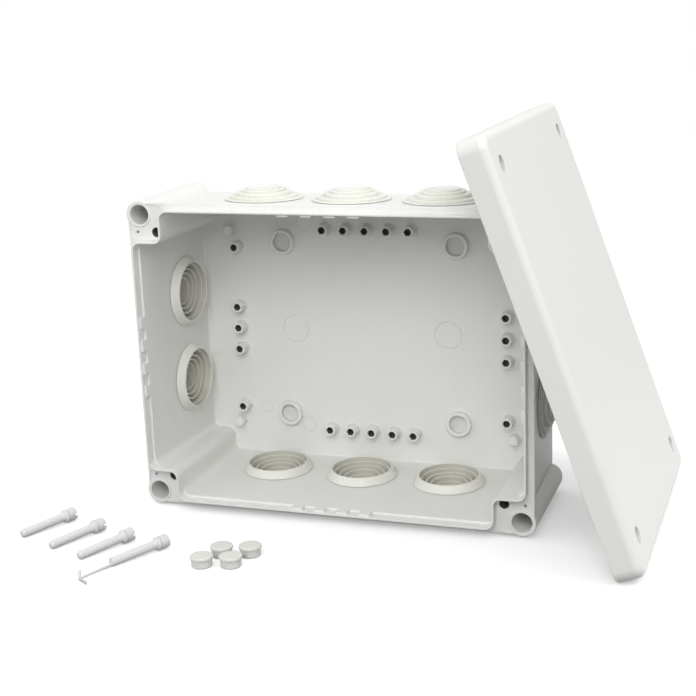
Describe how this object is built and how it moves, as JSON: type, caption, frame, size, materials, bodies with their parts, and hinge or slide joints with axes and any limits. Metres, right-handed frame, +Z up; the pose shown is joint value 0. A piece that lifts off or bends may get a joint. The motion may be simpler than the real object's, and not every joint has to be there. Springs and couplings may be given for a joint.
{
  "type": "electrical junction box",
  "caption": "Moulded junction box laid open: deep base with stepped rubber cable entries, gasketed lid leaning beside it, loose lid screws and blanking caps.",
  "frame": {"origin": "middle of the base's flat back face, which goes against a wall", "axes": "+X to the right along the base's long side, +Y out of the back face into the wall, +Z up"},
  "size_m": [0.3251, 0.2335, 0.2104],
  "materials": {
    "base": "light grey moulded plastic, satin",
    "lid": "light grey moulded plastic, satin",
    "gland": "warm light grey soft rubber, matt",
    "gasket": "dark grey foam rubber, matt",
    "screw": "light grey nylon, satin",
    "cap": "light grey moulded plastic, satin"
  },
  "bodies": {
    "box": {"base": "base", "gland_top_1": "gland", "gland_top_2": "gland", "gland_top_3": "gland", "gland_bottom_1": "gland", "gland_bottom_2": "gland", "gland_bottom_3": "gland", "gland_left_1": "gland", "gland_left_2": "gland", "gland_right_1": "gland", "gland_right_2": "gland"},
    "cover": {"lid": "lid", "lid_gasket": "gasket"},
    "screw_1": {"lid_screw_1": "screw"},
    "screw_2": {"lid_screw_2": "screw"},
    "screw_3": {"lid_screw_3": "screw"},
    "screw_4": {"lid_screw_tailed": "screw"},
    "plug_1": {"cap_1": "cap"},
    "plug_2": {"cap_2": "cap"},
    "plug_3": {"cap_3": "cap"},
    "plug_4": {"cap_4": "cap"}
  },
  "joints": [
    {"name": "lid_lift", "type": "slide", "parent": "box", "child": "cover", "axis": [0, 0, 1], "range_m": [0, 0.2]},
    {"name": "screw_1_lift", "type": "slide", "parent": "box", "child": "screw_1", "axis": [0, 0, 1], "range_m": [0, 0.1]},
    {"name": "screw_2_lift", "type": "slide", "parent": "box", "child": "screw_2", "axis": [0, 0, 1], "range_m": [0, 0.1]},
    {"name": "screw_3_lift", "type": "slide", "parent": "box", "child": "screw_3", "axis": [0, 0, 1], "range_m": [0, 0.1]},
    {"name": "screw_4_lift", "type": "slide", "parent": "box", "child": "screw_4", "axis": [0, 0, 1], "range_m": [0, 0.1]},
    {"name": "cap_1_lift", "type": "slide", "parent": "box", "child": "plug_1", "axis": [0, 0, 1], "range_m": [0, 0.1]},
    {"name": "cap_2_lift", "type": "slide", "parent": "box", "child": "plug_2", "axis": [0, 0, 1], "range_m": [0, 0.1]},
    {"name": "cap_3_lift", "type": "slide", "parent": "box", "child": "plug_3", "axis": [0, 0, 1], "range_m": [0, 0.1]},
    {"name": "cap_4_lift", "type": "slide", "parent": "box", "child": "plug_4", "axis": [0, 0, 1], "range_m": [0, 0.1]}
  ]
}
